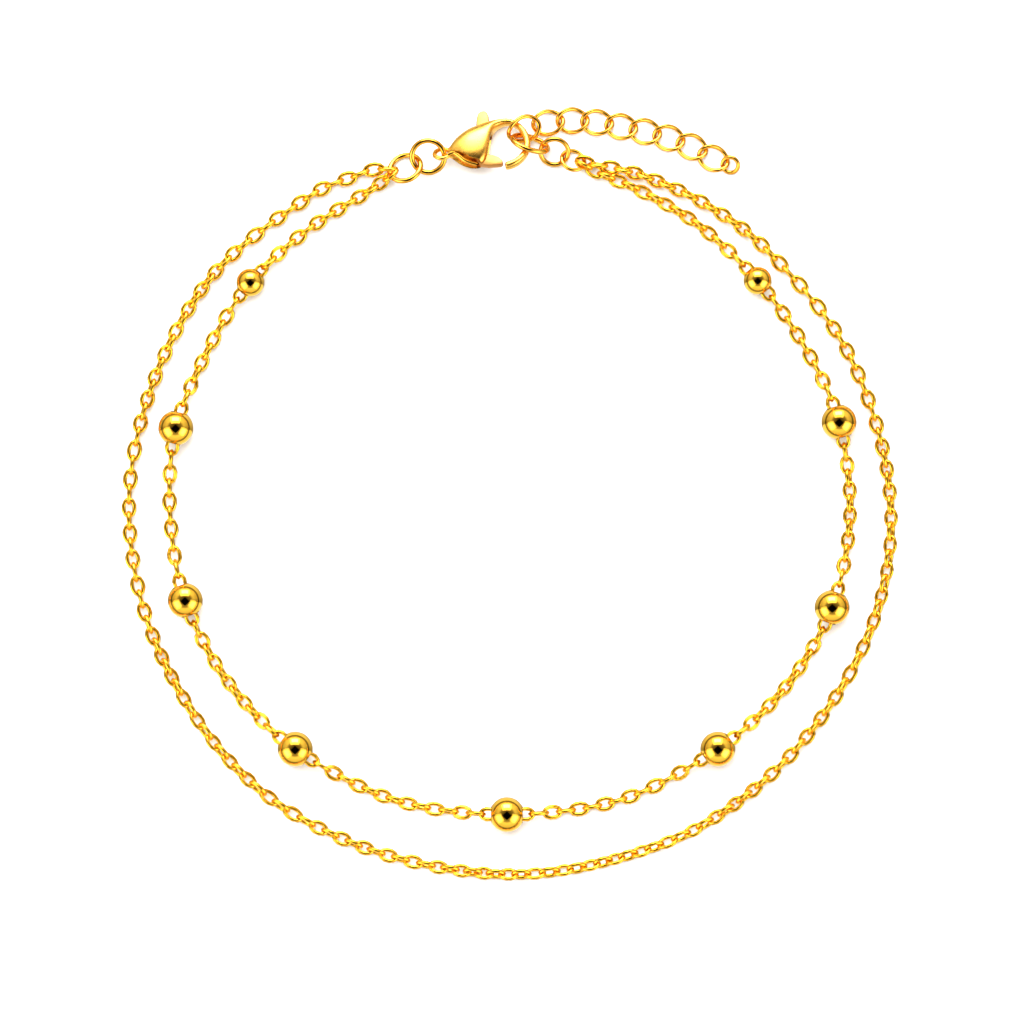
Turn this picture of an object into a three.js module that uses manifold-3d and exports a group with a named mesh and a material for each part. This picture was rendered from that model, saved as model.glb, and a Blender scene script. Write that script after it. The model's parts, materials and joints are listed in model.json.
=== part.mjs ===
// Charm anklet lying on a surface, fastened: two fine cable chains, one of them strung with nine round beads,
// jump rings at both ends, a lobster clasp and an extender of twisted oval links.
// Millimetres, +Z up, the surface at z = 0, +Y towards the clasp, +X to the right as seen from above.

import * as THREE from 'three';
import Module from 'manifold-3d';
import { mergeVertices } from 'three/addons/utils/BufferGeometryUtils.js';

const wasm = await Module();
wasm.setup();

// Cable chains, each a plain tube as wide as its links, which step 1.3 mm apart
const CHAIN_WIDTH = 1.3;
const CHAIN_SIDES = 8;
const CHAIN_STEP = 3;
const CHAIN_RISE = 4.5;
const CHAIN_GAP = 0.3;
const SPAN_DIVISIONS = 50;
const ROUTE_DIVISIONS = 2000;

// Beads: polished balls with flat drilled ends
const BEAD_DIAMETER = 3.5;
const BEAD_LENGTH = 3.1;
const SMALL_BEAD_DIAMETER = 2.8;
const SMALL_BEAD_LENGTH = 2.55;
const BORE_DIAMETER = 0.9;
const BEAD_SIDES = 16;
const BEAD_ROWS = 8;

// Jump rings, outside sizes and wires
const LEFT_RING_1_DIAMETER = 3.7;
const LEFT_RING_2_DIAMETER = 3.8;
const LEFT_RING_WIRE = 0.54;
const HOOK_RING_LENGTH = 4.25;
const HOOK_RING_WIDTH = 3.5;
const HOOK_RING_WIRE = 0.54;
const RIGHT_RING_1_DIAMETER = 3.2;
const RIGHT_RING_1_WIRE = 0.44;
const RIGHT_RING_2_DIAMETER = 2.65;
const RIGHT_RING_2_WIRE = 0.34;

// Extender: twisted oval links and a small ring at the free end
const LINK_LENGTH = 3.45;
const LINK_WIDTH = 2.75;
const FIRST_LINK_LENGTH = 3.65;
const FIRST_LINK_WIDTH = 2.95;
const LINK_WIRE = 0.44;
const LINK_TWIST = 32;
const END_RING_DIAMETER = 1.95;
const END_RING_WIRE = 0.34;

// Room left between two linked wires, and the facets of a ring
const LINK_GAP = 0.12;
const RING_SEGMENTS = 16;
const WIRE_SIDES = 6;

// Lobster clasp: length from the middle of its eye to the far side of its hook, greatest width and thickness
const CLASP_LENGTH = 9;
const CLASP_WIDTH = 5.4;
const CLASP_THICKNESS = 2.4;
const CLASP_PLACE = [-0.1889, 0.9375];
const CLASP_HEADING = 5;
const CLASP_PITCH = 2;
const CLASP_ROLL = -21;
const CLASP_LIFT = 0.05;
const SECTION_SIDES = 14;
const SECTION_SQUARENESS = 2.6;
const EYE_LENGTH = 1.95;
const EYE_WIDTH = 1.75;
const EYE_PLACE = 0.1;
const EYE_WIRE = 0.38;
const EYE_TURN = -24;

// Lever of the clasp: a flat gate with a thumb nib, on a pin hidden between the two cheeks of the body
const LEVER_THICKNESS = 0.7;
const LEVER_SIDE_GAP = 0.1;
const PIN_DIAMETER = 0.6;
const PIN_LENGTH = 1.4;
const PIN_GAP = 0.1;
const PIN_PLACE = [4.1, -0.9];

// Size of the closed loop: routes and places in plan are shares of this radius. The middle of the ankle is where
// the routes of the chains are measured from.
const LOOP_RADIUS = 36;
const ANKLE_CENTRE = [-0.0042, -0.0764];

// Route of the plain chain: degrees round the ankle from +X, and the share of the loop's radius from its middle
const OUTER_ROUTE = [
  [108.8, 1.0514], [114, 1.0444], [122, 1.0528], [140, 1.0639], [158, 1.0556], [176, 1.0528],
  [194, 1.0403], [212, 1.0250], [228, 1.0167], [243, 0.9958], [258, 0.9819], [273, 0.9833],
  [288, 0.9861], [303, 1.0042], [320, 1.0194], [338, 1.0431], [354, 1.0611], [370, 1.0583],
  [388, 1.0500], [406, 1.0375], [418, 1.0333], [428, 1.0264], [437.5, 1.0292],
];

// Route of the beaded chain, in the same way, and the rows of it that are the middles of beads
const INNER_ROUTE = [
  [109.0, 1.0111], [113, 0.9903], [125, 0.9778], [137.3, 0.9708], [150, 0.9569], [164.5, 0.9542],
  [179, 0.9375], [194, 0.9208], [210, 0.8972], [227.1, 0.8653], [248, 0.8375], [269.8, 0.8153],
  [292, 0.8361], [312.5, 0.8597], [329, 0.8986], [344.9, 0.9292], [360.7, 0.9486], [376.5, 0.9556],
  [390, 0.9528], [403.8, 0.9583], [417, 0.9736], [428, 0.9833], [437.5, 0.9889],
];
const BEAD_ROWS_OF_ROUTE = [3, 5, 7, 9, 11, 13, 15, 17, 19];

// How each ring lies, in degrees: the direction in plan from the piece that it is linked to, the heading of its
// own length, the turn of its plane about that heading and the pitch along it. Lift is its height above lying
// on the surface by itself, slack how much nearer than taut it lies, and offset its place in plan from the middle
// of the hook's wire.
const RING_POSES = {
  left_ring_2: { direction: 191, heading: -10, turnStart: 17, lift: 0.71, slack: 0.4 },
  left_ring_1: { direction: 206, heading: 25, turnStart: -36, lift: 0 },
  hook_ring: { offset: [0.26, 0.01], heading: -11.8, turnStart: -60.5, pitch: -19.3, lift: 0.02 },
  right_ring_1: { direction: -18.2, heading: -20, turnStart: 25.5, pitch: -8.5, lift: 0.17, slack: 0.07 },
  right_ring_2: { direction: -24, heading: -25, turnStart: -33, lift: 0, slack: 0 },
  extender_link_1: { offset: [0.12, 0.07], heading: 23, turnStart: 52.7, turnEnd: -2.6, pitch: -2, lift: 0.46 },
  end_ring: { direction: -21, heading: -21, turnStart: 25, pitch: 5, lift: 0.05 },
};

// Directions in plan from each link of the extender to the next, in degrees
const EXTENDER_HEADINGS = [16.2, 5, -4, -10, -12, -15, -21, -28];

// Sections of the clasp body from its neck, over the hook and down to the hook's nose. Outer and inner points
// are shares of the clasp's length and width from the middle of the eye, and deep is a share of its thickness.
// Two sections are marked with the ring or link that holds on to them.
const CLASP_SECTIONS = [
  { outer: [0.088, 0.056], inner: [0.088, -0.056], deep: 0.26 },
  { outer: [0.108, 0.110], inner: [0.108, -0.075], deep: 0.42 },
  { outer: [0.133, 0.190], inner: [0.125, -0.125], deep: 0.60 },
  { outer: [0.194, 0.306], inner: [0.217, -0.265], deep: 0.81 },
  { outer: [0.294, 0.426], inner: [0.310, -0.335], deep: 0.96 },
  { outer: [0.383, 0.485], inner: [0.417, -0.362], deep: 1.00 },
  { outer: [0.472, 0.524], inner: [0.500, -0.250], deep: 0.96 },
  { outer: [0.550, 0.550], inner: [0.539, 0.028], deep: 0.87 },
  { outer: [0.606, 0.565], inner: [0.556, 0.222], deep: 0.75 },
  { outer: [0.650, 0.574], inner: [0.600, 0.361], deep: 0.62 },
  { outer: [0.694, 0.581], inner: [0.667, 0.437], deep: 0.54 },
  { outer: [0.750, 0.583], inner: [0.744, 0.467], deep: 0.48 },
  { outer: [0.817, 0.556], inner: [0.794, 0.448], deep: 0.42 },
  { outer: [0.883, 0.485], inner: [0.844, 0.393], deep: 0.38 },
  { outer: [0.944, 0.367], inner: [0.889, 0.300], deep: 0.35, holds: 'extender_link_1' },
  { outer: [0.987, 0.219], inner: [0.916, 0.181], deep: 0.35 },
  { outer: [1.000, 0.056], inner: [0.924, 0.052], deep: 0.36, holds: 'hook_ring' },
  { outer: [0.983, -0.102], inner: [0.909, -0.070], deep: 0.38 },
  { outer: [0.936, -0.241], inner: [0.867, -0.176], deep: 0.42 },
  { outer: [0.867, -0.348], inner: [0.817, -0.241], deep: 0.47 },
  { outer: [0.789, -0.411], inner: [0.761, -0.281], deep: 0.47 },
  { outer: [0.702, -0.430], inner: [0.700, -0.300], deep: 0.44 },
];

// Space cut between the cheeks of the clasp for the lever, in the same shares of its length and width
const LEVER_SPACE = [
  [0.250, 0.111], [0.250, 0.833], [0.569, 0.833], [0.569, 0.270], [0.622, 0.222], [0.622, -0.481],
  [0.350, -0.481], [0.350, -0.222],
];

// Outline of the lever, clockwise from the tip of the gate: its underside, its root, the stem and the nib,
// then down the far side of the stem and along the top of the gate
const LEVER_OUTLINE = [
  [0.678, -0.315], [0.655, -0.358], [0.511, -0.350], [0.428, -0.318], [0.383, -0.215], [0.378, 0.000],
  [0.405, 0.280], [0.424, 0.500], [0.446, 0.640], [0.470, 0.735], [0.500, 0.762], [0.529, 0.735],
  [0.544, 0.640], [0.552, 0.500], [0.528, 0.220], [0.519, 0.020], [0.552, -0.130], [0.640, -0.222],
];

// Colours and finishes
const GOLD = { color: 0xe2a93a, roughness: 0.22, metalness: 1 };
const POLISHED_GOLD = { color: 0xe8b040, roughness: 0.1, metalness: 1 };
const MERGE_DISTANCE = 1e-4;

const UP = new THREE.Vector3(0, 0, 1);
const radians = THREE.MathUtils.degToRad;

// A named mesh with a material of its own
function piece(name, geometry, finish) {
  const mesh = new THREE.Mesh(geometry, new THREE.MeshStandardMaterial(finish));
  mesh.name = name;
  return mesh;
}

// A closed geometry as a solid that can be joined and cut, and back again
function solid(geometry) {
  const bare = geometry.clone();
  bare.deleteAttribute('normal');
  bare.deleteAttribute('uv');
  const merged = mergeVertices(bare, MERGE_DISTANCE);
  return new wasm.Manifold(new wasm.Mesh({
    numProp: 3,
    vertProperties: merged.attributes.position.array,
    triVerts: new Uint32Array(merged.index.array),
  }));
}

function geometryOf(manifold) {
  const mesh = manifold.getMesh();
  const geometry = new THREE.BufferGeometry();
  geometry.setAttribute('position', new THREE.BufferAttribute(mesh.vertProperties, mesh.numProp));
  geometry.setIndex(new THREE.BufferAttribute(mesh.triVerts, 1));
  return geometry;
}

// A ring or twisted link: an oval of wire whose own x axis points along its heading. It is turned about that
// axis by the angle turnStart at its near end and turnEnd at its far end, and then pitched up by pitch.
function ring({ length, width = length, wire, heading = 0, turnStart = 0, turnEnd = turnStart, pitch = 0 }) {
  return {
    wire, heading, turnStart, turnEnd, pitch,
    reach: (length - wire) / 2,
    spread: (width - wire) / 2,
    centre: new THREE.Vector3(),
  };
}

function ringFrame(shape, angle) {
  const along = shape.reach * Math.cos(angle);
  const share = (1 + Math.cos(angle)) / 2;
  const turn = radians(THREE.MathUtils.lerp(shape.turnStart, shape.turnEnd, share));
  const across = shape.spread * Math.sin(angle);
  return {
    point: new THREE.Vector3(along, across * Math.cos(turn), across * Math.sin(turn)),
    face: new THREE.Vector3(0, -Math.sin(turn), Math.cos(turn)),
  };
}

function ringGeometry(shape) {
  const torus = new THREE.TorusGeometry(1, shape.wire / 2, WIRE_SIDES, RING_SEGMENTS);
  const position = torus.attributes.position;
  const difference = 1e-3;
  for (let i = 0; i < position.count; i += 1) {
    const angle = Math.atan2(position.getY(i), position.getX(i));
    const outwards = Math.hypot(position.getX(i), position.getY(i)) - 1;
    const upwards = position.getZ(i);
    const { point, face } = ringFrame(shape, angle);
    const ahead = ringFrame(shape, angle + difference).point;
    const behind = ringFrame(shape, angle - difference).point;
    const side = ahead.sub(behind).cross(face).normalize();
    const top = face.clone().addScaledVector(side, -face.dot(side)).normalize();
    point.addScaledVector(side, outwards).addScaledVector(top, upwards);
    position.setXYZ(i, point.x, point.y, point.z);
  }
  const tilt = new THREE.Euler(0, -radians(shape.pitch), radians(shape.heading), 'ZYX');
  torus.applyMatrix4(new THREE.Matrix4().makeRotationFromEuler(tilt));
  return torus.translate(shape.centre.x, shape.centre.y, shape.centre.z);
}

// Lays a ring at the height given above lying on the surface by itself
function lay(shape, lift = 0) {
  shape.centre.z = 0;
  const geometry = ringGeometry(shape);
  geometry.computeBoundingBox();
  shape.centre.z = lift - geometry.boundingBox.min.z;
  return shape;
}

// A ring linked to an earlier one in the direction given, with room between the wires, and nearer by its slack
function linked(earlier, later, { direction, lift, slack = 0 }) {
  const taut = earlier.reach + later.reach - (earlier.wire + later.wire) / 2;
  const distance = taut - LINK_GAP - slack;
  const toLater = new THREE.Vector3(distance, 0, 0).applyAxisAngle(UP, radians(direction));
  later.centre.copy(earlier.centre).add(toLater);
  return lay(later, lift);
}

// Clasp body: a loft through its sections, each a rounded oblong from the outer to the inner side
function claspSection({ outer, inner, deep }) {
  const from = new THREE.Vector3(outer[0] * CLASP_LENGTH, outer[1] * CLASP_WIDTH, 0);
  const to = new THREE.Vector3(inner[0] * CLASP_LENGTH, inner[1] * CLASP_WIDTH, 0);
  const middle = from.clone().add(to).divideScalar(2);
  const half = from.clone().sub(to).divideScalar(2);
  const halfDepth = deep * CLASP_THICKNESS / 2;
  const rounded = (value) => Math.sign(value) * Math.abs(value) ** (2 / SECTION_SQUARENESS);
  return Array.from({ length: SECTION_SIDES }, (_, i) => {
    const angle = 2 * Math.PI * (i + 0.5) / SECTION_SIDES;
    const point = middle.clone().addScaledVector(half, rounded(Math.cos(angle)));
    point.z = halfDepth * rounded(Math.sin(angle));
    return point;
  });
}

function loft(sections) {
  const count = sections[0].length;
  const vertices = sections.flat().flatMap((point) => point.toArray());
  const faces = [];
  for (let row = 0; row + 1 < sections.length; row += 1) {
    for (let i = 0; i < count; i += 1) {
      const next = (i + 1) % count;
      const [a, b] = [row * count + i, row * count + next];
      faces.push(a, b, a + count, b, b + count, a + count);
    }
  }
  const last = (sections.length - 1) * count;
  for (let i = 1; i + 1 < count; i += 1) {
    faces.push(0, i + 1, i, last, last + i, last + i + 1);
  }
  const geometry = new THREE.BufferGeometry();
  geometry.setAttribute('position', new THREE.Float32BufferAttribute(vertices, 3));
  geometry.setIndex(faces);
  return geometry;
}

// A flat plate of the clasp, given by shares of its length and width, lying evenly about its middle plane
function claspPlate(outline, thickness) {
  const points = outline.map(([x, y]) => new THREE.Vector2(x * CLASP_LENGTH, y * CLASP_WIDTH));
  const plate = new THREE.ExtrudeGeometry(new THREE.Shape(points), { depth: thickness, bevelEnabled: false });
  return plate.translate(0, 0, -thickness / 2);
}

function claspPin(diameter, length) {
  const pin = new THREE.CylinderGeometry(diameter / 2, diameter / 2, length, BEAD_SIDES);
  return pin.rotateX(Math.PI / 2).translate(PIN_PLACE[0], PIN_PLACE[1], 0);
}

const claspEye = ring({ length: EYE_LENGTH, width: EYE_WIDTH, wire: EYE_WIRE, turnStart: EYE_TURN });
claspEye.centre.x = EYE_PLACE;
const leverSlot = LEVER_THICKNESS + 2 * LEVER_SIDE_GAP;
const claspBody = solid(loft(CLASP_SECTIONS.map(claspSection)))
  .add(solid(ringGeometry(claspEye)))
  .subtract(solid(claspPlate(LEVER_SPACE, leverSlot)))
  .subtract(solid(claspPin(PIN_DIAMETER + 2 * PIN_GAP, PIN_LENGTH + 2 * PIN_GAP)));
const claspLever = solid(claspPlate(LEVER_OUTLINE, LEVER_THICKNESS))
  .add(solid(claspPin(PIN_DIAMETER, PIN_LENGTH)));

// The clasp leans on the thick edge of its body, its hook a little raised by the ring that it holds, and its
// gate clears the surface while it swings
const clasp = new THREE.Group();
clasp.add(piece('clasp_body', geometryOf(claspBody), POLISHED_GOLD));
clasp.add(piece('clasp_lever', geometryOf(claspLever), POLISHED_GOLD));
clasp.rotation.set(radians(CLASP_ROLL), -radians(CLASP_PITCH), radians(CLASP_HEADING), 'ZYX');
clasp.position.set(CLASP_PLACE[0] * LOOP_RADIUS, CLASP_PLACE[1] * LOOP_RADIUS, 0);
clasp.position.z = CLASP_LIFT - new THREE.Box3().setFromObject(clasp, true).min.z;
clasp.updateMatrixWorld(true);

// The middle of the section of the hook that holds a ring or link, where the clasp now lies
function hookMiddle(name) {
  const { outer, inner } = CLASP_SECTIONS.find((section) => section.holds === name);
  const x = (outer[0] + inner[0]) / 2 * CLASP_LENGTH;
  const y = (outer[1] + inner[1]) / 2 * CLASP_WIDTH;
  return clasp.localToWorld(new THREE.Vector3(x, y, 0));
}

// A ring or link round the hook's wire, beside the middle of the section that holds it
function hooked(shape, name) {
  const { offset, lift } = RING_POSES[name];
  const place = hookMiddle(name);
  shape.centre.set(place.x + offset[0], place.y + offset[1], 0);
  return lay(shape, lift);
}

function jumpRing(name, length, wire, width = length) {
  return ring({ length, width, wire, ...RING_POSES[name] });
}

// Jump rings to the left of the clasp, from its eye to the ring that both chains hang on
const leftRing2 = jumpRing('left_ring_2', LEFT_RING_2_DIAMETER, LEFT_RING_WIRE);
const leftRing1 = jumpRing('left_ring_1', LEFT_RING_1_DIAMETER, LEFT_RING_WIRE);
const placedEye = { ...claspEye, centre: clasp.localToWorld(claspEye.centre.clone()) };
linked(placedEye, leftRing2, RING_POSES.left_ring_2);
linked(leftRing2, leftRing1, RING_POSES.left_ring_1);

// Hook ring round the arm of the hook, and jump rings from it to the right ends of the chains
const hookRing = jumpRing('hook_ring', HOOK_RING_LENGTH, HOOK_RING_WIRE, HOOK_RING_WIDTH);
const rightRing1 = jumpRing('right_ring_1', RIGHT_RING_1_DIAMETER, RIGHT_RING_1_WIRE);
const rightRing2 = jumpRing('right_ring_2', RIGHT_RING_2_DIAMETER, RIGHT_RING_2_WIRE);
hooked(hookRing, 'hook_ring');
linked(hookRing, rightRing1, RING_POSES.right_ring_1);
linked(rightRing1, rightRing2, RING_POSES.right_ring_2);

// Extender: its first link is caught on the bend of the hook, and each next link passes through the one before,
// every one twisted so that its far end passes under and over the near end of the next
const firstLink = jumpRing('extender_link_1', FIRST_LINK_LENGTH, LINK_WIRE, FIRST_LINK_WIDTH);
hooked(firstLink, 'extender_link_1');
const extender = [firstLink];
EXTENDER_HEADINGS.forEach((direction, i) => {
  const onwards = EXTENDER_HEADINGS[i + 1] ?? RING_POSES.end_ring.direction;
  const heading = (direction + onwards) / 2;
  const twist = { turnStart: LINK_TWIST, turnEnd: -LINK_TWIST };
  const link = ring({ length: LINK_LENGTH, width: LINK_WIDTH, wire: LINK_WIRE, heading, ...twist });
  extender.push(linked(extender[i], link, { direction }));
});
const endRing = jumpRing('end_ring', END_RING_DIAMETER, END_RING_WIRE);
linked(extender.at(-1), endRing, RING_POSES.end_ring);

// A stretch of a chain on the surface: it follows a flat route between two distances along it, kept upright,
// and climbs at either end to the height of the bore or ring that it runs to
class ChainStretch extends THREE.Curve {
  constructor(route, start, end, startHeight, endHeight) {
    super();
    Object.assign(this, { route, start, end, startHeight, endHeight });
  }

  height(distance) {
    const low = CHAIN_WIDTH / 2;
    const climb = (height, from) => (height - low) * (1 - THREE.MathUtils.smoothstep(from, 0, CHAIN_RISE));
    const fromStart = distance - this.start;
    const fromEnd = this.end - distance;
    return low + climb(this.startHeight, fromStart) + climb(this.endHeight, fromEnd);
  }

  getPoint(share) {
    const distance = THREE.MathUtils.lerp(this.start, this.end, share);
    const point = this.route.getPointAt(distance / this.route.getLength());
    point.z = this.height(distance);
    return point;
  }

  computeFrenetFrames(steps) {
    const tangents = Array.from({ length: steps + 1 }, (_, i) => this.getTangentAt(i / steps));
    const up = new THREE.Vector3(0, 0, 1);
    const binormals = tangents.map((tangent) => tangent.clone().cross(up).normalize());
    const normals = binormals.map((binormal, i) => binormal.clone().cross(tangents[i]));
    return { tangents, normals, binormals };
  }
}

function chainRoute(rows) {
  const points = rows.map(([angle, share]) => new THREE.Vector3(
    (ANKLE_CENTRE[0] + share * Math.cos(radians(angle))) * LOOP_RADIUS,
    (ANKLE_CENTRE[1] + share * Math.sin(radians(angle))) * LOOP_RADIUS,
    0,
  ));
  const route = new THREE.CatmullRomCurve3(points);
  route.arcLengthDivisions = SPAN_DIVISIONS * (points.length - 1);
  return route;
}

function chainTube(stretch) {
  const corner = CHAIN_WIDTH / 2 / Math.cos(Math.PI / CHAIN_SIDES);
  const corners = Array.from({ length: CHAIN_SIDES }, (_, i) => {
    const angle = 2 * Math.PI * (i + 0.5) / CHAIN_SIDES;
    return new THREE.Vector2(corner * Math.cos(angle), corner * Math.sin(angle));
  });
  const steps = Math.ceil((stretch.end - stretch.start) / CHAIN_STEP);
  return new THREE.ExtrudeGeometry(new THREE.Shape(corners), { steps, extrudePath: stretch, bevelEnabled: false });
}

// How far along its route, from one end or the other, a chain stands clear of the ring that it hangs on
function clearOf(shape, route, backwards) {
  const total = route.getLength();
  const clear = shape.reach + shape.wire / 2 + CHAIN_GAP;
  for (let i = 0; i <= ROUTE_DIVISIONS; i += 1) {
    const share = backwards ? 1 - i / ROUTE_DIVISIONS : i / ROUTE_DIVISIONS;
    const point = route.getPointAt(share);
    if (Math.hypot(point.x - shape.centre.x, point.y - shape.centre.y) > clear) return share * total;
  }
  return backwards ? total : 0;
}

// Plain chain, from the left ring to the right ring
const outerRoute = chainRoute(OUTER_ROUTE);
const leftHeight = leftRing1.centre.z;
const rightHeight = rightRing2.centre.z;
const outerChain = chainTube(new ChainStretch(
  outerRoute,
  clearOf(leftRing1, outerRoute, false),
  clearOf(rightRing2, outerRoute, true),
  leftHeight,
  rightHeight,
));

// Beads: a ball cut flat at both ends and bored through, its axis along the chain
const innerRoute = chainRoute(INNER_ROUTE);
const innerLengths = innerRoute.getLengths();
const beads = BEAD_ROWS_OF_ROUTE.map((row, i) => {
  const small = i === 0 || i === BEAD_ROWS_OF_ROUTE.length - 1;
  const distance = innerLengths[row * SPAN_DIVISIONS];
  return {
    distance,
    radius: (small ? SMALL_BEAD_DIAMETER : BEAD_DIAMETER) / 2,
    half: (small ? SMALL_BEAD_LENGTH : BEAD_LENGTH) / 2,
    centre: innerRoute.getPointAt(distance / innerRoute.getLength()),
    tangent: innerRoute.getTangentAt(distance / innerRoute.getLength()),
  };
});

function beadGeometry({ radius, half, centre, tangent }) {
  const bore = BORE_DIAMETER / 2;
  const end = Math.asin(half / radius);
  const profile = [new THREE.Vector2(bore, -half)];
  for (let row = 0; row <= BEAD_ROWS; row += 1) {
    const latitude = THREE.MathUtils.lerp(-end, end, row / BEAD_ROWS);
    profile.push(new THREE.Vector2(radius * Math.cos(latitude), radius * Math.sin(latitude)));
  }
  profile.push(new THREE.Vector2(bore, half), new THREE.Vector2(bore, -half));
  const bead = new THREE.LatheGeometry(profile, BEAD_SIDES);
  bead.rotateZ(-Math.PI / 2).rotateZ(Math.atan2(tangent.y, tangent.x));
  return bead.translate(centre.x, centre.y, radius);
}

// Beaded chain: one stretch between each bead and the next, and one out to the ring at either end
const innerStops = [
  { distance: clearOf(leftRing1, innerRoute, false), half: -CHAIN_GAP, radius: leftHeight },
  ...beads,
  { distance: clearOf(rightRing2, innerRoute, true), half: -CHAIN_GAP, radius: rightHeight },
];
const innerChain = innerStops.slice(1).map((stop, i) => {
  const before = innerStops[i];
  const start = before.distance + before.half + CHAIN_GAP;
  const end = stop.distance - stop.half - CHAIN_GAP;
  return chainTube(new ChainStretch(innerRoute, start, end, before.radius, stop.radius));
});

// The whole anklet, its origin on the surface below its middle
const anklet = new THREE.Group();
anklet.add(clasp);
anklet.add(piece('outer_chain', outerChain, GOLD));
innerChain.forEach((tube, i) => anklet.add(piece(`inner_chain_${i + 1}`, tube, GOLD)));
beads.forEach((bead, i) => anklet.add(piece(`bead_${i + 1}`, beadGeometry(bead), POLISHED_GOLD)));
anklet.add(piece('left_ring_1', ringGeometry(leftRing1), GOLD));
anklet.add(piece('left_ring_2', ringGeometry(leftRing2), GOLD));
anklet.add(piece('hook_ring', ringGeometry(hookRing), GOLD));
anklet.add(piece('right_ring_1', ringGeometry(rightRing1), GOLD));
anklet.add(piece('right_ring_2', ringGeometry(rightRing2), GOLD));
extender.forEach((link, i) => anklet.add(piece(`extender_link_${i + 1}`, ringGeometry(link), GOLD)));
anklet.add(piece('end_ring', ringGeometry(endRing), GOLD));

const box = new THREE.Box3().setFromObject(anklet, true);
const middle = box.getCenter(new THREE.Vector3());
anklet.position.set(-middle.x, -middle.y, -box.min.z);

export default anklet;
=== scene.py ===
"""Looks of the charm anklet: two gold cable chains, round beads, jump rings, lobster clasp and extender."""
import json
import math

import bmesh
import bpy
from mathutils import Euler, Matrix, Vector
from mathutils.geometry import interpolate_bezier


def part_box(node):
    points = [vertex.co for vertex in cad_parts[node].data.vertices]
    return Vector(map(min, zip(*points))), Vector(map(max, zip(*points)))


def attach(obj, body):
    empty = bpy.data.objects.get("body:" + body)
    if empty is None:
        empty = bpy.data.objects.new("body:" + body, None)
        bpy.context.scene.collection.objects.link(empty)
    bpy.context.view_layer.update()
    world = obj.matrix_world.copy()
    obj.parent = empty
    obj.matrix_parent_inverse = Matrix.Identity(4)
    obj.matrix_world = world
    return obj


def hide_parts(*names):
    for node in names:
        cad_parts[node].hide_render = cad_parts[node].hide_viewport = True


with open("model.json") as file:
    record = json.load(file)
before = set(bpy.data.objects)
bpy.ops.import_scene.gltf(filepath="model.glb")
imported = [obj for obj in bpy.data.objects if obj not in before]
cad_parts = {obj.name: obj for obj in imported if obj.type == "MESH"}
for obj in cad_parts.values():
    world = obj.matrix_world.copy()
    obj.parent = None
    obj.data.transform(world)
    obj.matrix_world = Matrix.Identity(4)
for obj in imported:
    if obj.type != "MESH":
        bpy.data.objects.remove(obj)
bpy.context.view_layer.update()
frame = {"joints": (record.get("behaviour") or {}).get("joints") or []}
mm = 0.001


# Beads: nine balls turned from brass, drilled through and cut flat at both ends, polished to a mirror and
# plated with gold. Seven are 3.5 mm and the two next to the clasp 2.8 mm. They are strung between the links
# of the inner chain.
bead_radius, bead_half = 1.75 * mm, 1.55 * mm
small_radius, small_half = 1.4 * mm, 1.275 * mm
small_numbers = (1, 9)
bore_radius = 0.45 * mm
rim = 0.06 * mm
rim_steps = 3
ball_segments, ball_rings = 56, 28
bead_crease = math.radians(40)
turn_on_chain = 1.3
# The finish has soft clouds of colour, and scratches that are finer than the clouds.
cloud_detail, scratch_detail = 3, 5
scratches_finer = 6
scratch_low, scratch_high = 0.35, 0.65
relief_strength = 0.3


def active(obj):
    """Selects one object alone, for the next operators to work on."""
    bpy.ops.object.select_all(action="DESELECT")
    obj.select_set(True)
    bpy.context.view_layer.objects.active = obj


def finish_marks():
    """Node group: the fine unevenness that polishing leaves on plate, as colour, roughness and height."""
    group = bpy.data.node_groups.new("finish_marks", "ShaderNodeTree")
    for name, kind, value in (
        ("Light", "NodeSocketColor", (1, 0.6, 0.1, 1)),
        ("Deep", "NodeSocketColor", (1, 0.5, 0.05, 1)),
        ("Grain", "NodeSocketFloat", 900.0),
        ("Smoothest", "NodeSocketFloat", 0.05),
        ("Roughest", "NodeSocketFloat", 0.12),
    ):
        socket = group.interface.new_socket(name=name, in_out="INPUT", socket_type=kind)
        socket.default_value = value
    group.interface.new_socket(name="Color", in_out="OUTPUT", socket_type="NodeSocketColor")
    for name in ("Roughness", "Height"):
        group.interface.new_socket(name=name, in_out="OUTPUT", socket_type="NodeSocketFloat")
    nodes, link = group.nodes, group.links.new
    given = nodes.new("NodeGroupInput")
    made = nodes.new("NodeGroupOutput")
    place = nodes.new("ShaderNodeTexCoord")
    clouds = nodes.new("ShaderNodeTexNoise")
    clouds.inputs["Detail"].default_value = cloud_detail
    fine = nodes.new("ShaderNodeMath")
    fine.operation = "MULTIPLY"
    fine.inputs[1].default_value = scratches_finer
    scratches = nodes.new("ShaderNodeTexNoise")
    scratches.inputs["Detail"].default_value = scratch_detail
    colour = nodes.new("ShaderNodeMix")
    colour.data_type = "RGBA"
    rough = nodes.new("ShaderNodeMapRange")
    rough.inputs["From Min"].default_value = scratch_low
    rough.inputs["From Max"].default_value = scratch_high
    link(place.outputs["Object"], clouds.inputs["Vector"])
    link(place.outputs["Object"], scratches.inputs["Vector"])
    link(given.outputs["Grain"], clouds.inputs["Scale"])
    link(given.outputs["Grain"], fine.inputs[0])
    link(fine.outputs[0], scratches.inputs["Scale"])
    link(clouds.outputs["Fac"], colour.inputs["Factor"])
    link(given.outputs["Light"], colour.inputs[6])
    link(given.outputs["Deep"], colour.inputs[7])
    link(scratches.outputs["Fac"], rough.inputs["Value"])
    link(given.outputs["Smoothest"], rough.inputs["To Min"])
    link(given.outputs["Roughest"], rough.inputs["To Max"])
    link(colour.outputs[2], made.inputs["Color"])
    link(rough.outputs["Result"], made.inputs["Roughness"])
    link(scratches.outputs["Fac"], made.inputs["Height"])
    return group


FINISH = finish_marks()


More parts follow.
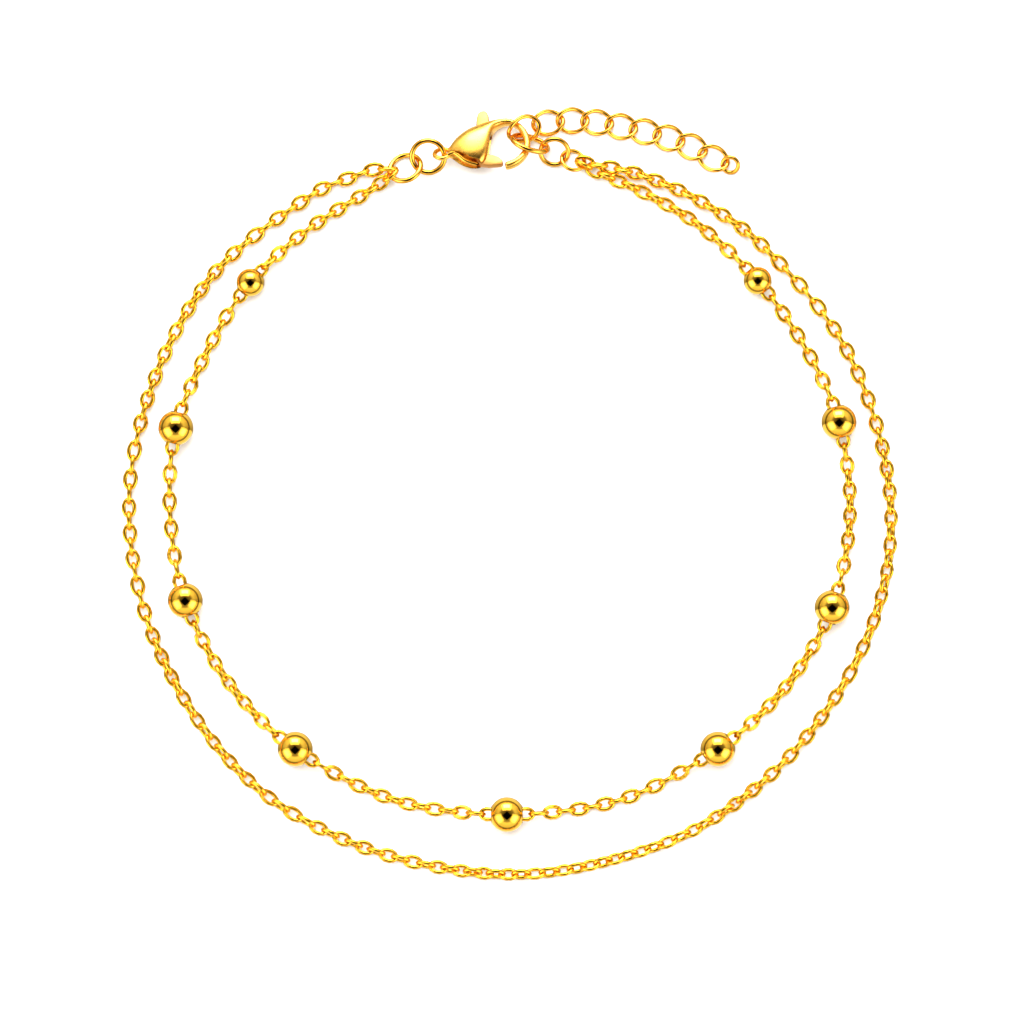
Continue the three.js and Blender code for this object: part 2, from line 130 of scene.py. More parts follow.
def gold(name, light, deep, grain, smoothest, roughest, relief):
    """Gold plate, whose colour clouds from light to deep and whose roughness lies between two values."""
    material = bpy.data.materials.new(name)
    material.use_nodes = True
    nodes, link = material.node_tree.nodes, material.node_tree.links.new
    shader = nodes["Principled BSDF"]
    shader.inputs["Metallic"].default_value = 1
    marks = nodes.new("ShaderNodeGroup")
    marks.node_tree = FINISH
    marks.inputs["Light"].default_value = (*light, 1)
    marks.inputs["Deep"].default_value = (*deep, 1)
    marks.inputs["Grain"].default_value = grain
    marks.inputs["Smoothest"].default_value = smoothest
    marks.inputs["Roughest"].default_value = roughest
    bump = nodes.new("ShaderNodeBump")
    bump.inputs["Strength"].default_value = relief_strength
    bump.inputs["Distance"].default_value = relief
    link(marks.outputs["Color"], shader.inputs["Base Color"])
    link(marks.outputs["Roughness"], shader.inputs["Roughness"])
    link(marks.outputs["Height"], bump.inputs["Height"])
    link(bump.outputs["Normal"], shader.inputs["Normal"])
    return material


bead_gold = gold(
    "bead_gold", light=(1.0, 0.61, 0.08), deep=(0.98, 0.55, 0.06), grain=500,
    smoothest=0.05, roughest=0.1, relief=0.4e-6)


def select_faces(obj, wanted):
    mesh = bmesh.from_edit_mesh(obj.data)
    for face in mesh.faces:
        face.select_set(wanted(face))
    mesh.select_flush_mode()
    bmesh.update_edit_mesh(obj.data)


def is_cut_end(face):
    return abs(face.normal.x) > 0.999 and len(face.verts) > ball_segments / 3


def turned_bead(name, radius, half):
    """A ball with its ends cut off at half from the middle, bored through along X."""
    bpy.ops.mesh.primitive_uv_sphere_add(segments=ball_segments, ring_count=ball_rings, radius=radius)
    ball = bpy.context.object
    ball.name = name
    ball.data.transform(Matrix.Rotation(math.pi / 2, 4, "Y"))
    bpy.ops.object.mode_set(mode="EDIT")
    for side in (1, -1):
        bpy.ops.mesh.select_all(action="SELECT")
        bpy.ops.mesh.bisect(
            plane_co=(side * half, 0, 0), plane_no=(side, 0, 0), use_fill=True, clear_outer=True)
    bpy.ops.mesh.select_all(action="DESELECT")
    bpy.ops.mesh.select_mode(type="FACE")
    select_faces(ball, is_cut_end)
    bpy.ops.mesh.bevel(offset=rim, segments=rim_steps, affect="EDGES")
    select_faces(ball, is_cut_end)
    cap = math.sqrt(radius ** 2 - half ** 2)
    bpy.ops.mesh.inset(thickness=cap - rim - bore_radius)
    bpy.ops.mesh.bridge_edge_loops()
    bpy.ops.object.mode_set(mode="OBJECT")
    bpy.ops.object.shade_smooth_by_angle(angle=bead_crease)
    return ball


def copy_of(pattern, name, matrix):
    """A copy with a mesh of its own, placed by a matrix."""
    copy = pattern.copy()
    copy.data = pattern.data.copy()
    copy.name = name
    copy.data.name = name
    copy.data.transform(matrix)
    bpy.context.scene.collection.objects.link(copy)
    return copy


def dress(piece, material, body="anklet"):
    """Gives a piece its material and the body that it rides on."""
    piece.data.materials.clear()
    piece.data.materials.append(material)
    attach(piece, body)


def middle_of(node):
    low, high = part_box(node)
    return (low + high) / 2


# The route of the beaded chain as it lies, in degrees round the ankle and millimetres from its middle.
BEAD_5_ROW = (269.8, 29.35)
INNER_ROUTE = [
    (107.9, 36.6), (108.8, 36.4), (111, 35.9), (113, 35.65), (125, 35.2), (137.3, 34.95), (150, 34.45),
    (164.5, 34.35), (179, 33.75), (194, 33.15), (210, 32.3), (227.1, 31.15), (248, 30.15), BEAD_5_ROW,
    (292, 30.1), (312.5, 30.95), (329, 32.35), (344.9, 33.45), (360.7, 34.15), (376.5, 34.4), (390, 34.3),
    (403.8, 34.5), (417, 35.05), (428, 35.4), (434.5, 35.7), (436.5, 36.0), (438.9, 36.4),
]


def on_plan(row):
    """A row of a route as a place from the ankle's middle."""
    angle, distance = row
    return Vector((math.cos(math.radians(angle)), math.sin(math.radians(angle)), 0)) * distance * mm


ankle_middle = middle_of("bead_5") - on_plan(BEAD_5_ROW)
ankle_middle.z = 0


def through(knots, count):
    """Points on the smooth curve through the knots, a given number from each knot to the next."""
    points = [knots[0]]
    for i in range(len(knots) - 1):
        start, end = knots[i], knots[i + 1]
        before, after = knots[max(i - 1, 0)], knots[min(i + 2, len(knots) - 1)]
        handles = start + (end - before) / 6, end - (after - start) / 6
        points += interpolate_bezier(start, *handles, end, count)[1:]
    return points


points_a_row = 120


def smooth_route(rows):
    """Points some 0.1 mm apart on the smooth curve through the rows, and how far along it each one is."""
    points = through([ankle_middle + on_plan(row) for row in rows], points_a_row)
    along = [0.0]
    for a, b in zip(points, points[1:]):
        along.append(along[-1] + (b - a).length)
    return points, along


def at(route, distance):
    """The place on a route and the direction there, a given distance along it."""
    points, along = route
    low, high = 0, len(along) - 1
    while high - low > 1:
        half = (low + high) // 2
        low, high = (half, high) if along[half] <= distance else (low, half)
    share = (distance - along[low]) / (along[high] - along[low])
    return points[low].lerp(points[high], share), (points[high] - points[low]).normalized()


def nearest(route, place):
    """How far along a route it comes nearest to a place."""
    points, along = route
    flat = Vector((place.x, place.y, 0))
    return along[min(range(len(points)), key=lambda i: (points[i] - flat).length)]


inner_route = smooth_route(INNER_ROUTE)
bead_pattern = turned_bead("bead_pattern", bead_radius, bead_half)
small_pattern = turned_bead("small_bead_pattern", small_radius, small_half)
strung = []
for number in range(1, 10):
    node = f"bead_{number}"
    small = number in small_numbers
    place = middle_of(node)
    distance = nearest(inner_route, place)
    direction = at(inner_route, distance)[1]
    turn = Matrix.Rotation(math.atan2(direction.y, direction.x), 4, "Z")
    spin = Matrix.Rotation(number * turn_on_chain, 4, "X")
    pattern = small_pattern if small else bead_pattern
    piece = copy_of(pattern, f"polished_{node}", Matrix.Translation(place) @ turn @ spin)
    dress(piece, bead_gold)
    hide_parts(node)
    strung.append((distance, small_half if small else bead_half, small_radius if small else bead_radius))
bpy.data.objects.remove(bead_pattern)
bpy.data.objects.remove(small_pattern)


# Cable chains: oval links bent from gold-plated wire of 0.42 mm and closed one through the next, each turned
# about a quarter against its neighbours. Beside a bead the end of a link is pinched, and sits in the bore.
chain_gold = gold(
    "chain_gold", light=(0.99, 0.57, 0.06), deep=(0.95, 0.51, 0.04), grain=700,
    smoothest=0.12, roughest=0.22, relief=0.5e-6)
link_wire = 0.42 * mm
link_long, link_wide = 2.12 * mm, 1.54 * mm
link_pitch = 1.29 * mm
link_around, link_sides = 12, 6
pinch_depth, pinch_curve = 0.78, 1.7
link_low = link_wide / 2
climb_length = 4.5 * mm
# How deep a pinched end sits in a bore, and how far from a ring's middle the ends of the chains are.
hold = 0.42 * mm
left_reach, right_reach = 0.94 * mm, 0.5 * mm
inner_slack, outer_slack = 0.04, 0.075
# How far the first link of a stretch is turned, in degrees.
inner_turn, inner_start_turn, outer_turn = 0, 60, 68


def wire_link(name, length, width, wire, around, sides):
    """An oval of round wire in the XY plane, its length along X: a ring drawn out to both sides."""
    bpy.ops.mesh.primitive_torus_add(
        major_radius=(width - wire) / 2, minor_radius=wire / 2,
        major_segments=around, minor_segments=sides)
    link = bpy.context.object
    link.name = name
    link.data.transform(Matrix.Rotation(math.pi / around, 4, "Z"))
    for vertex in link.data.vertices:
        vertex.co.x += (length - width) / 2 * vertex.co.x / vertex.co.xy.length
    bpy.ops.object.shade_smooth()
    return link


plain_link = wire_link("plain_link", link_long, link_wide, link_wire, link_around, link_sides)
pinched_link = copy_of(plain_link, "pinched_link", Matrix.Identity(4))
active(pinched_link)
bpy.ops.object.mode_set(mode="EDIT")
mesh = bmesh.from_edit_mesh(pinched_link.data)
for vertex in mesh.verts:
    if vertex.co.x < 0:
        share = -vertex.co.x / (link_long / 2)
        vertex.co.y *= 1 - pinch_depth * share ** pinch_curve
bmesh.update_edit_mesh(pinched_link.data)
bpy.ops.object.mode_set(mode="OBJECT")


def chain_height(distance, start, end, start_height, end_height):
    """The chain lies on the surface, and climbs at either end to the bore or ring that it runs to."""
    def climb(height, away):
        share = min(max(away / climb_length, 0), 1)
        return (height - link_low) * (1 - share * share * (3 - 2 * share))
    return link_low + climb(start_height, distance - start) + climb(end_height, end - distance)


def crowding(number):
    """How far the links of a slack chain are drawn out or crowd together, in slow and quick waves."""
    return math.sin(0.61 * number + 1) + math.sin(0.23 * number) + 0.6 * math.sin(1.9 * number)


def run_of_links(name, route, start, end, heights, first_turn, drift, slack, pinched=(False, False)):
    """Links from start to end along a route, each turned a quarter further, with a slow drift of the whole.

    Where the chain is slack its links crowd together, and where it is drawn out they are the longer ones.
    """
    count = max(3, round((end - start) / link_pitch))
    if all(pinched) and count % 2 == 0:
        count += 1 if (end - start) / link_pitch > count else -1
    steps = [1 + slack * crowding(i) for i in range(count)]
    unit = (end - start) / sum(steps)
    parts = []
    gone = start
    for i in range(count):
        step = steps[i] * unit
        distance = gone + step / 2
        gone += step
        place, direction = at(route, distance)
        before = chain_height(distance - step / 2, start, end, *heights)
        after = chain_height(distance + step / 2, start, end, *heights)
        place = place + Vector((0, 0, (before + after) / 2))
        slope = math.atan2(after - before, step)
        heading = math.atan2(direction.y, direction.x)
        turn = math.radians(first_turn + 90 * i + drift(i / count))
        stretch = max(1.0, (step + 2 * link_wire) / link_long)
        pattern = plain_link
        if pinched[0] and i == 0:
            pattern = pinched_link
        if pinched[1] and i == count - 1:
            pattern = pinched_link
            heading += math.pi
            slope = -slope
        matrix = Matrix.Translation(place) @ Euler((0, -slope, heading)).to_matrix().to_4x4()
        matrix = matrix @ Matrix.Rotation(turn, 4, "X") @ Matrix.Diagonal((stretch, 1, 1, 1))
        parts.append(copy_of(pattern, f"{name}_{i}", matrix))
    active(parts[0])
    for part in parts:
        part.select_set(True)
    bpy.ops.object.join()
    chain = bpy.context.object
    chain.name = name
    return chain


def inside_ring(route, ring, reach):
    """How far along a route it is reach from a ring's middle, on the side away from the nearer end."""
    points, along = route
    away = [(point.xy - ring.xy).length for point in points]
    close = away.index(min(away))
    order = range(close, len(points)) if close < len(points) / 2 else range(close, -1, -1)
    return next(along[i] for i in order if away[i] >= reach)


def beaded_drift(number):
    """How far a beaded stretch slowly turns along its length, in degrees: each stretch by its own amount."""
    return lambda share: 24 * math.sin(math.pi * share) * math.sin(2.1 * number)


def plain_drift(share):
    """How far the plain strand slowly turns along its length, in degrees, in two waves."""
    return 12 * math.sin(9 * share) + 12 * math.sin(31 * share + 1)


left_ring, right_ring = middle_of("left_ring_1"), middle_of("right_ring_2")
stops = [(inside_ring(inner_route, left_ring, left_reach), 0, left_ring.z), *strung,
         (inside_ring(inner_route, right_ring, right_reach), 0, right_ring.z)]
for number in range(1, 11):
    before, before_half, before_height = stops[number - 1]
    after, after_half, after_height = stops[number]
    begins = before + before_half - (hold if before_half else 0)
    ends = after - after_half + (hold if after_half else 0)
    piece = run_of_links(
        f"beaded_links_{number}", inner_route, begins, ends, (before_height, after_height),
        inner_turn if number > 1 else inner_start_turn, beaded_drift(number), inner_slack,
        (bool(before_half), bool(after_half)))
    dress(piece, chain_gold)
    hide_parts(f"inner_chain_{number}")

# The plain strand lies outside the beaded one, and hangs on the same two rings.
OUTER_ROUTE = [
    (107.9, 36.8), (109.2, 37.1), (111.1, 37.45), (114, 37.6), (122, 37.9), (140, 38.3), (158, 38.0),
    (176, 37.9), (194, 37.45), (212, 36.9), (228, 36.6), (243, 35.85), (258, 35.35), (273, 35.4), (288, 35.5),
    (303, 36.15), (320, 36.7), (338, 37.55), (354, 38.2), (370, 38.1), (388, 37.8), (406, 37.35), (418, 37.2),
    (428, 36.95), (434.3, 36.65), (436.6, 36.5), (438.9, 36.55),
]
outer_route = smooth_route(OUTER_ROUTE)
outer_links = run_of_links(
    "plain_links", outer_route, inside_ring(outer_route, left_ring, left_reach),
    inside_ring(outer_route, right_ring, right_reach), (left_ring.z, right_ring.z), outer_turn,
    plain_drift, outer_slack)
dress(outer_links, chain_gold)
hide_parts("outer_chain")
bpy.data.objects.remove(plain_link)
bpy.data.objects.remove(pinched_link)


# Jump rings and extender links: polished wire bent round and closed by hand. Rings are round and links oval,
# and each link of the extender is twisted, so that its two ends lie at a slant through its neighbours.
ring_gold = gold(
    "ring_gold", light=(0.9, 0.49, 0.08), deep=(0.86, 0.44, 0.06), grain=500,
    smoothest=0.05, roughest=0.1, relief=0.4e-6)
ring_around, ring_sides = 64, 16
extender_long, extender_wide, extender_wire = 3.45, 2.75, 0.44
extender_twist = 32
# Which way the extender runs at each of its rings, in degrees.
extender_directions = [16.2, 5, -4, -10, -12, -15, -21, -28, -21]


def laid_ring(name, node, length, width, wire, heading, turn_start, turn_end=None, pitch=0.0):
    """A ring or twisted link, lying in the middle of the CAD node that it replaces.

    Its length, width and wire are in millimetres, and its heading, turns and pitch in degrees.
    """
    turn_end = turn_start if turn_end is None else turn_end
    piece = wire_link(name, length * mm, width * mm, wire * mm, ring_around, ring_sides)
    for vertex in piece.data.vertices:
        share = 0.5 + vertex.co.x / (length * mm)
        turn = math.radians(turn_start + (turn_end - turn_start) * share)
        y, z = vertex.co.y, vertex.co.z
        vertex.co.y = y * math.cos(turn) - z * math.sin(turn)
        vertex.co.z = y * math.sin(turn) + z * math.cos(turn)
    lie = Euler((0, -math.radians(pitch), math.radians(heading))).to_matrix().to_4x4()
    piece.data.transform(lie)
    places = [vertex.co for vertex in piece.data.vertices]
    low, high = (
        Vector([limit(place[axis] for place in places) for axis in range(3)]) for limit in (min, max))
    piece.data.transform(Matrix.Translation(middle_of(node) - (low + high) / 2))
    dress(piece, ring_gold)
    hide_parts(node)


# Length, width, wire and heading, then the turn, or the turns at both ends of a twisted one.
laid_ring("ring_at_chains_left", "left_ring_1", 3.7, 3.7, 0.54, 25, -36)
laid_ring("ring_at_eye", "left_ring_2", 3.8, 3.8, 0.54, -10, 17)
laid_ring("ring_in_hook", "hook_ring", 4.25, 3.5, 0.54, -11.8, -60.5, pitch=-19.3)
laid_ring("ring_right_middle", "right_ring_1", 3.24, 3.24, 0.48, -20, 25.5, pitch=-8.5)
laid_ring("ring_at_chains_right", "right_ring_2", 2.71, 2.71, 0.4, -25, -33)
laid_ring("extender_oval_1", "extender_link_1", 3.65, 2.95, 0.44, 23, 52.7, -2.6, -2)
for number in range(2, 10):
    heading = (extender_directions[number - 2] + extender_directions[number - 1]) / 2
    laid_ring(
        f"extender_oval_{number}", f"extender_link_{number}", extender_long, extender_wide, extender_wire,
        heading, extender_twist, -extender_twist)
laid_ring("extender_end", "end_ring", 2.02, 2.02, 0.41, -21, 25, pitch=5)


# Clasp body: a lobster clasp cast in one piece with its eye and its hook, domed on both faces and polished.
# Along its lower edge it is two cheeks, with a bright spring and the root of the lever between them.
clasp_gold = gold(
    "clasp_gold", light=(0.92, 0.54, 0.11), deep=(0.88, 0.49, 0.09), grain=260,
    smoothest=0.24, roughest=0.32, relief=0.5e-6)
clasp_long, clasp_wide, clasp_thick = 9.0 * mm, 5.4 * mm, 2.4 * mm
pin = Vector((4.1 * mm, -0.9 * mm, 0))
hinge = frame["joints"][0]
clasp_turn = Euler((math.radians(-21), -math.radians(2), math.radians(5))).to_matrix().to_4x4()
clasp_place = Matrix.Translation(Vector(hinge["pos_m"])) @ clasp_turn @ Matrix.Translation(-pin)
oblong_power = 0.77
casting_steps = 2
slot_width = 0.86 * mm
cheek_cut, cheek_cut_height = 1.3 * mm, 0.85 * mm
cheek_edge, cheek_edge_steps = 0.05 * mm, 2
sharp_cheek, cheek_crease = math.radians(50), math.radians(45)
# The sections from the neck to the end of the hook: the outer and the inner point of each, as shares of the
# clasp's length and width, and its depth as a share of the clasp's.
CLASP_SECTIONS = [
    ((0.080, 0.090), (0.080, -0.085), 0.34), ((0.092, 0.105), (0.092, -0.095), 0.38),
    ((0.108, 0.128), (0.108, -0.100), 0.46),
    ((0.133, 0.190), (0.125, -0.125), 0.60), ((0.194, 0.306), (0.217, -0.265), 0.81),
    ((0.294, 0.426), (0.310, -0.335), 0.96), ((0.383, 0.485), (0.417, -0.362), 1.00),
    ((0.472, 0.524), (0.500, -0.250), 0.96), ((0.550, 0.550), (0.539, 0.028), 0.87),
    ((0.606, 0.565), (0.556, 0.222), 0.75), ((0.650, 0.574), (0.600, 0.361), 0.62),
    ((0.694, 0.581), (0.667, 0.437), 0.54), ((0.750, 0.583), (0.744, 0.467), 0.48),
    ((0.817, 0.556), (0.794, 0.448), 0.42), ((0.883, 0.485), (0.844, 0.393), 0.38),
    ((0.944, 0.367), (0.889, 0.300), 0.35), ((0.987, 0.219), (0.916, 0.181), 0.35),
    ((1.000, 0.056), (0.924, 0.052), 0.36), ((0.983, -0.102), (0.909, -0.070), 0.38),
    ((0.936, -0.241), (0.867, -0.176), 0.42), ((0.867, -0.348), (0.817, -0.241), 0.47),
    ((0.789, -0.411), (0.761, -0.281), 0.47), ((0.712, -0.432), (0.708, -0.298), 0.44),
    ((0.697, -0.422), (0.696, -0.314), 0.36),
]


def section_ring(mesh, outer, inner, deep, around=16):
    """One rounded oblong section of the clasp, as a loop of edges."""
    start = Vector((outer[0] * clasp_long, outer[1] * clasp_wide, 0))
    end = Vector((inner[0] * clasp_long, inner[1] * clasp_wide, 0))
    middle, half = (start + end) / 2, (start - end) / 2
    verts = []
    for i in range(around):
        angle = 2 * math.pi * (i + 0.5) / around
        across = math.copysign(abs(math.cos(angle)) ** oblong_power, math.cos(angle))
        upwards = math.copysign(abs(math.sin(angle)) ** oblong_power, math.sin(angle))
        place = middle + half * across
        place.z = upwards * deep * clasp_thick / 2
        verts.append(mesh.verts.new(place))
    return [mesh.edges.new((verts[i], verts[(i + 1) % around])) for i in range(around)]


def piece_from(mesh, name):
    """Makes a new piece of a finished mesh."""
    piece = bpy.data.objects.new(name, bpy.data.meshes.new(name))
    mesh.to_mesh(piece.data)
    mesh.free()
    bpy.context.scene.collection.objects.link(piece)
    return piece


mesh = bmesh.new()
loops = [section_ring(mesh, *section) for section in CLASP_SECTIONS]
for first, second in zip(loops, loops[1:]):
    bmesh.ops.bridge_loops(mesh, edges=first + second)
for loop in (loops[0], loops[-1]):
    bmesh.ops.contextual_create(mesh, geom=loop)
bmesh.ops.recalc_face_normals(mesh, faces=mesh.faces)
clasp = piece_from(mesh, "clasp_casting")
active(clasp)
smooth = clasp.modifiers.new("smooth", "SUBSURF")
smooth.levels = smooth.render_levels = casting_steps
bpy.ops.object.modifier_apply(modifier="smooth")


# The lever's room between the cheeks, as shares of the clasp's length and width.
LEVER_ROOM = [
    (0.250, 0.111), (0.250, 0.833), (0.569, 0.833), (0.569, 0.270), (0.622, 0.222), (0.622, -0.481),
    (0.120, -0.481), (0.120, -0.085), (0.200, -0.110), (0.300, -0.130), (0.345, -0.120),
]
# The edge of the upper cheek, which stops short of the lower one, so that the spring shows below it.
CHEEK_EDGE = [
    (0.060, -0.030), (0.115, -0.008), (0.153, -0.020), (0.195, -0.045), (0.235, -0.082), (0.275, -0.132),
    (0.313, -0.184), (0.355, -0.212), (0.396, -0.227), (0.425, -0.262), (0.450, -0.311), (0.460, -0.400),
    (0.460, -0.490), (0.060, -0.490),
]


def plate(name, outline, thickness):
    """A flat plate lying evenly about the clasp's middle plane, from an outline in shares of its size."""
    mesh = bmesh.new()
    verts = [mesh.verts.new((x * clasp_long, y * clasp_wide, -thickness / 2)) for x, y in outline]
    face = mesh.faces.new(verts)
    bmesh.ops.recalc_face_normals(mesh, faces=[face])
    raised = bmesh.ops.extrude_face_region(mesh, geom=[face])["geom"]
    upper = [part for part in raised if isinstance(part, bmesh.types.BMVert)]
    bmesh.ops.translate(mesh, vec=(0, 0, thickness), verts=upper)
    bmesh.ops.recalc_face_normals(mesh, faces=mesh.faces)
    return piece_from(mesh, name)


def cut(piece, tool):
    """Cuts a tool's shape out of a piece, and removes the tool."""
    active(piece)
    boolean = piece.modifiers.new("cut", "BOOLEAN")
    boolean.operation = "DIFFERENCE"
    boolean.solver = "EXACT"
    boolean.object = tool
    bpy.ops.object.modifier_apply(modifier="cut")
    bpy.data.objects.remove(tool)


def soften(piece, width, steps, sharp, crease):
    """Rounds the edges of a piece that are sharper than one angle, and shades it smooth below another."""
    active(piece)
    bevel = piece.modifiers.new("soften", "BEVEL")
    bevel.width = width
    bevel.segments = steps
    bevel.limit_method = "ANGLE"
    bevel.angle_limit = sharp
    bpy.ops.object.modifier_apply(modifier="soften")
    bpy.ops.object.shade_smooth_by_angle(angle=crease)


cut(clasp, plate("lever_room", LEVER_ROOM, slot_width))
above_spring = plate("above_spring", CHEEK_EDGE, cheek_cut)
above_spring.data.transform(Matrix.Translation((0, 0, cheek_cut_height)))
cut(clasp, above_spring)
soften(clasp, cheek_edge, cheek_edge_steps, sharp_cheek, cheek_crease)
clasp.data.transform(clasp_place)
dress(clasp, clasp_gold)
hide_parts("clasp_body")

# The clasp's eye: a ring of wire at the neck, which holds the jump ring beside it.
eye_long, eye_wide, eye_wire = 1.98 * mm, 1.78 * mm, 0.43 * mm
eye_around, eye_sides = 48, 16
eye_turn = Matrix.Rotation(math.radians(-24), 4, "X")
eye_place = Matrix.Translation((0.1 * mm, 0, 0))
eye = wire_link("clasp_eye", eye_long, eye_wide, eye_wire, eye_around, eye_sides)
eye.data.transform(clasp_place @ eye_place @ eye_turn)
dress(eye, clasp_gold)
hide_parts("clasp_body")

# The spring's bright wire, which runs in an S from the neck down to the root of the lever: shares of the
# clasp's length and width, and millimetres above its middle plane.
spring_radius = 0.23 * mm
spring_points = 8
spring_crease = math.radians(50)
SPRING_PATH = [
    (0.072, -0.060, 0.25), (0.112, -0.035, 0.33), (0.152, -0.038, 0.38), (0.204, -0.112, 0.34),
    (0.255, -0.194, 0.26), (0.326, -0.250, 0.16), (0.392, -0.285, 0.08),
]


def bent_wire(name, path, radius, around=10):
    """A round wire along a path of points, with flat ends."""
    mesh = bmesh.new()
    loops = []
    for i, place in enumerate(path):
        along = path[min(i + 1, len(path) - 1)] - path[max(i - 1, 0)]
        facing = along.to_track_quat("Z", "Y").to_matrix()
        verts = []
        for k in range(around):
            angle = 2 * math.pi * k / around
            outwards = facing @ Vector((math.cos(angle), math.sin(angle), 0))
            verts.append(mesh.verts.new(place + outwards * radius))
        loops.append(verts)
    for first, second in zip(loops, loops[1:]):
        for k in range(around):
            mesh.faces.new((first[k], first[(k + 1) % around], second[(k + 1) % around], second[k]))
    mesh.faces.new(loops[0])
    mesh.faces.new(loops[-1])
    bmesh.ops.recalc_face_normals(mesh, faces=mesh.faces)
    return piece_from(mesh, name)


spring_knots = [Vector((x * clasp_long, y * clasp_wide, z * mm)) for x, y, z in SPRING_PATH]
spring = bent_wire("clasp_spring", through(spring_knots, spring_points), spring_radius)
active(spring)
bpy.ops.object.shade_smooth_by_angle(angle=spring_crease)
spring.data.transform(clasp_place)
dress(spring, ring_gold)


# Clasp lever: a flat stamped gate with a rounded thumb nib, less polished than the body. Its gold is the
# body's gold painted darker, as painted shade that dims the softbox highlight on its flat face. It turns on a
# pin hidden between the cheeks of the body.
shaded_lever_gold = gold(
    "shaded_lever_gold", light=(0.63, 0.32, 0.1), deep=(0.59, 0.29, 0.08), grain=260,
    smoothest=0.36, roughest=0.44, relief=0.5e-6)
lever_thick = 0.7 * mm
lever_edge, lever_edge_steps = 0.08 * mm, 3
lever_crease = math.radians(40)
LEVER_OUTLINE = [
    (0.676, -0.318), (0.655, -0.358), (0.511, -0.350), (0.428, -0.318), (0.383, -0.215), (0.378, 0.000),
    (0.400, 0.280), (0.412, 0.500), (0.424, 0.640), (0.444, 0.730), (0.474, 0.764), (0.510, 0.766),
    (0.538, 0.735), (0.552, 0.640), (0.558, 0.500), (0.516, 0.220), (0.500, 0.020), (0.515, -0.126),
    (0.575, -0.150), (0.632, -0.192), (0.668, -0.262),
]
lever = plate("lever_gate", LEVER_OUTLINE, lever_thick)
soften(lever, lever_edge, lever_edge_steps, lever_crease, lever_crease)
lever.data.transform(clasp_place)
dress(lever, shaded_lever_gold, "lever")
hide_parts("clasp_lever")


# Surface: a plain pale matt sheet that the anklet lies on. It is left out of the reflections, which show the
# lower half of the tent in its place.
floor_size = 3
sheet_white = (0.86, 0.86, 0.86, 1)
floor_material = bpy.data.materials.new("pale_sheet")
floor_material.use_nodes = True
floor_shader = floor_material.node_tree.nodes["Principled BSDF"]
floor_shader.inputs["Base Color"].default_value = sheet_white
floor_shader.inputs["Roughness"].default_value = 0.9
floor_shader.inputs["Specular IOR Level"].default_value = 0.2
bpy.ops.mesh.primitive_plane_add(size=floor_size, location=(0, 0, 0))
floor = bpy.context.object
floor.name = "pale_floor"
floor.data.materials.append(floor_material)
floor.visible_glossy = False


# Light: a pale tent, dim overhead and in a band below the horizon, and a large lamp above, which lights the
# sheet. The polished metal alone shows the white softboxes behind the clasp and to the left and right, each
# inside a wider glow, and the black card above the camera.
tent_strength = 1.8
world = bpy.data.worlds.new("tent")
bpy.context.scene.world = world
world.use_nodes = True
tent = world.node_tree
background = tent.nodes["Background"]
direction = tent.nodes.new("ShaderNodeTexCoord")
parts_of = tent.nodes.new("ShaderNodeSeparateXYZ")
tent.links.new(direction.outputs["Generated"], parts_of.inputs[0])


def brightness_along(axis, stops):
    """Brightness of the tent by how far a direction points along one axis, from -1 to 1."""
    share = tent.nodes.new("ShaderNodeMapRange")
    share.inputs["From Min"].default_value = -1
    tent.links.new(parts_of.outputs[axis], share.inputs["Value"])
    ramp = tent.nodes.new("ShaderNodeValToRGB")
    ramp.color_ramp.interpolation = "EASE"
    while len(ramp.color_ramp.elements) < len(stops):
        ramp.color_ramp.elements.new(0.5)
    for element, (place, level) in zip(ramp.color_ramp.elements, stops):
        element.position = (place + 1) / 2
        element.color = (level, level, level, 1)
    tent.links.new(share.outputs["Result"], ramp.inputs["Fac"])
    return ramp.outputs["Color"]


def times(first, second):
    """The product of two colours, part by part."""
    product = tent.nodes.new("ShaderNodeVectorMath")
    product.operation = "MULTIPLY"
    tent.links.new(first, product.inputs[0])
    tent.links.new(second, product.inputs[1])
    return product.outputs[0]


by_height = brightness_along("Z", [
    (-1, 0.6), (-0.36, 0.58), (-0.26, 0.08), (-0.16, 0.14), (0.02, 0.54), (0.5, 0.7), (0.78, 0.2),
    (1, 0.08)])
front_to_back = brightness_along("Y", [
    (-1, 0.8), (-0.7, 0.9), (-0.42, 1), (-0.16, 1), (-0.11, 0.32), (0.3, 0.6), (0.8, 0.9)])
tent.links.new(times(by_height, front_to_back), background.inputs["Color"])
background.inputs["Strength"].default_value = tent_strength


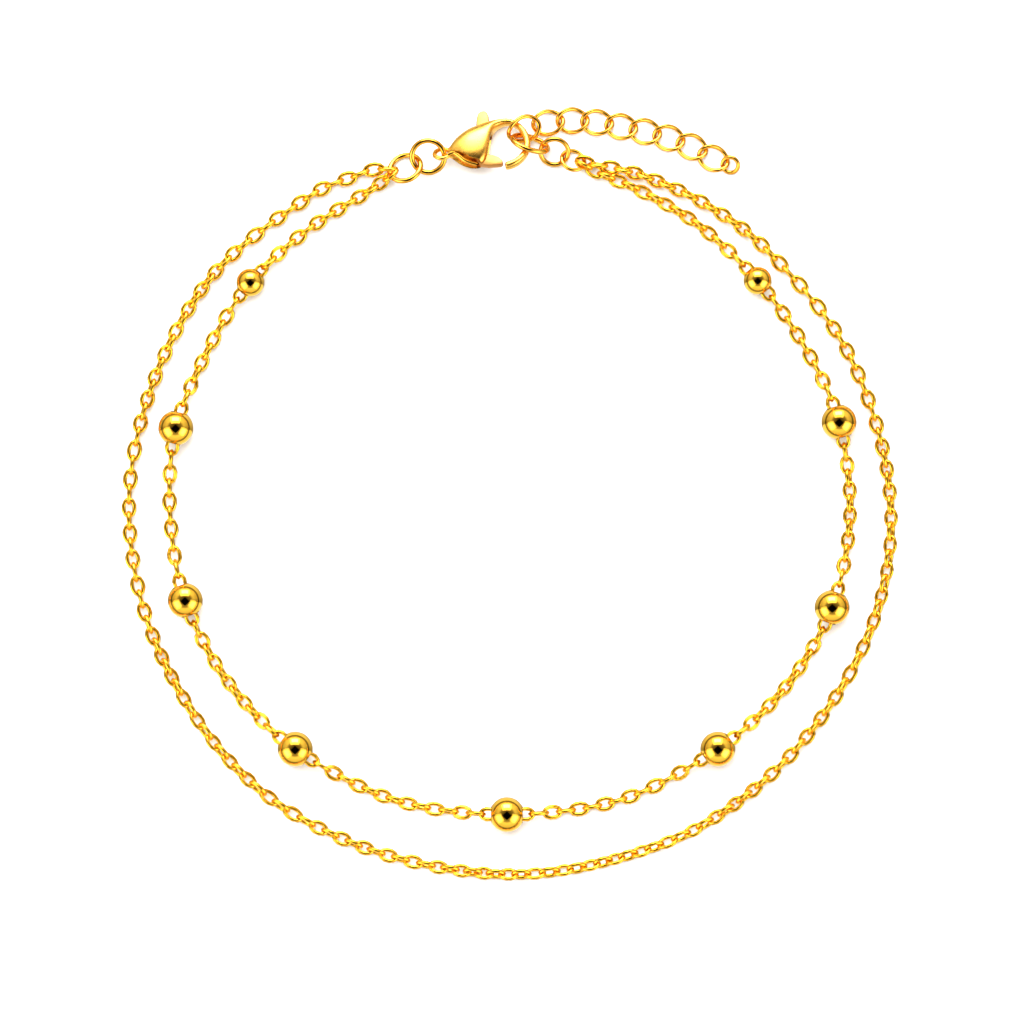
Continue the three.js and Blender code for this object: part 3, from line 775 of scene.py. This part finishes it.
def softbox(name, azimuth, elevation, distance, width, height, power):
    """A white lamp that faces the middle, seen in polished metal alone."""
    light = bpy.data.lights.new(name, "AREA")
    light.shape = "RECTANGLE"
    light.size, light.size_y = width, height
    light.energy = power
    lamp = bpy.data.objects.new(name, light)
    a, e = math.radians(azimuth), math.radians(elevation)
    away = Vector((math.cos(a) * math.cos(e), math.sin(a) * math.cos(e), math.sin(e)))
    lamp.location = away * distance
    lamp.rotation_euler = away.to_track_quat("Z", "Y").to_euler()
    lamp.visible_diffuse = False
    bpy.context.scene.collection.objects.link(lamp)
    return lamp


# Azimuth and elevation in degrees, distance, width and height in metres, and power in watts.
SOFTBOXES = {
    "softbox_back": (92, 29, 1.1, 0.75, 0.5, 7),
    "softbox_back_glow": (92, 34, 1.15, 1.25, 1.1, 6),
    "softbox_left": (206, 33, 1.1, 0.65, 0.65, 1.6),
    "softbox_left_glow": (206, 33, 1.15, 1.1, 1.05, 2.8),
    "softbox_right": (-27, 34, 1.1, 0.6, 0.6, 1.4),
    "softbox_right_glow": (-27, 34, 1.15, 1.05, 1.0, 2.6),
}
LAMP_ABOVE = (110, 62, 1.2, 1.4, 1.4, 34)
for name, row in SOFTBOXES.items():
    softbox(name, *row)
key = softbox("lamp_above", *LAMP_ABOVE)
key.visible_diffuse = True
key.visible_glossy = False

card_radius = 0.5
card_place = (0, -0.12, 0.9)
card_black = (0.002, 0.002, 0.002, 1)
card_material = bpy.data.materials.new("black_card")
card_material.use_nodes = True
card_shader = card_material.node_tree.nodes["Principled BSDF"]
card_shader.inputs["Base Color"].default_value = card_black
card_shader.inputs["Specular IOR Level"].default_value = 0
card_shader.inputs["Roughness"].default_value = 1
bpy.ops.mesh.primitive_circle_add(vertices=4, radius=card_radius, fill_type="NGON", location=card_place)
card = bpy.context.object
card.name = "camera_card"
card.data.materials.append(card_material)
card.visible_camera = False
card.visible_diffuse = False
card.visible_shadow = False

# Camera: straight above, a long lens that takes in 102.4 mm of the surface.
field = 102.4 * mm
view_x, view_y = 0.2 * mm, -1.818 * mm
camera_data = bpy.data.cameras.new("camera")
camera_data.lens = 180
camera_data.sensor_width = 36
camera = bpy.data.objects.new("camera", camera_data)
camera.location = (view_x, view_y, field * camera_data.lens / camera_data.sensor_width)
bpy.context.scene.collection.objects.link(camera)
bpy.context.scene.camera = camera
bpy.context.scene.view_settings.view_transform = "Standard"
bpy.context.scene.view_settings.look = "Medium High Contrast"
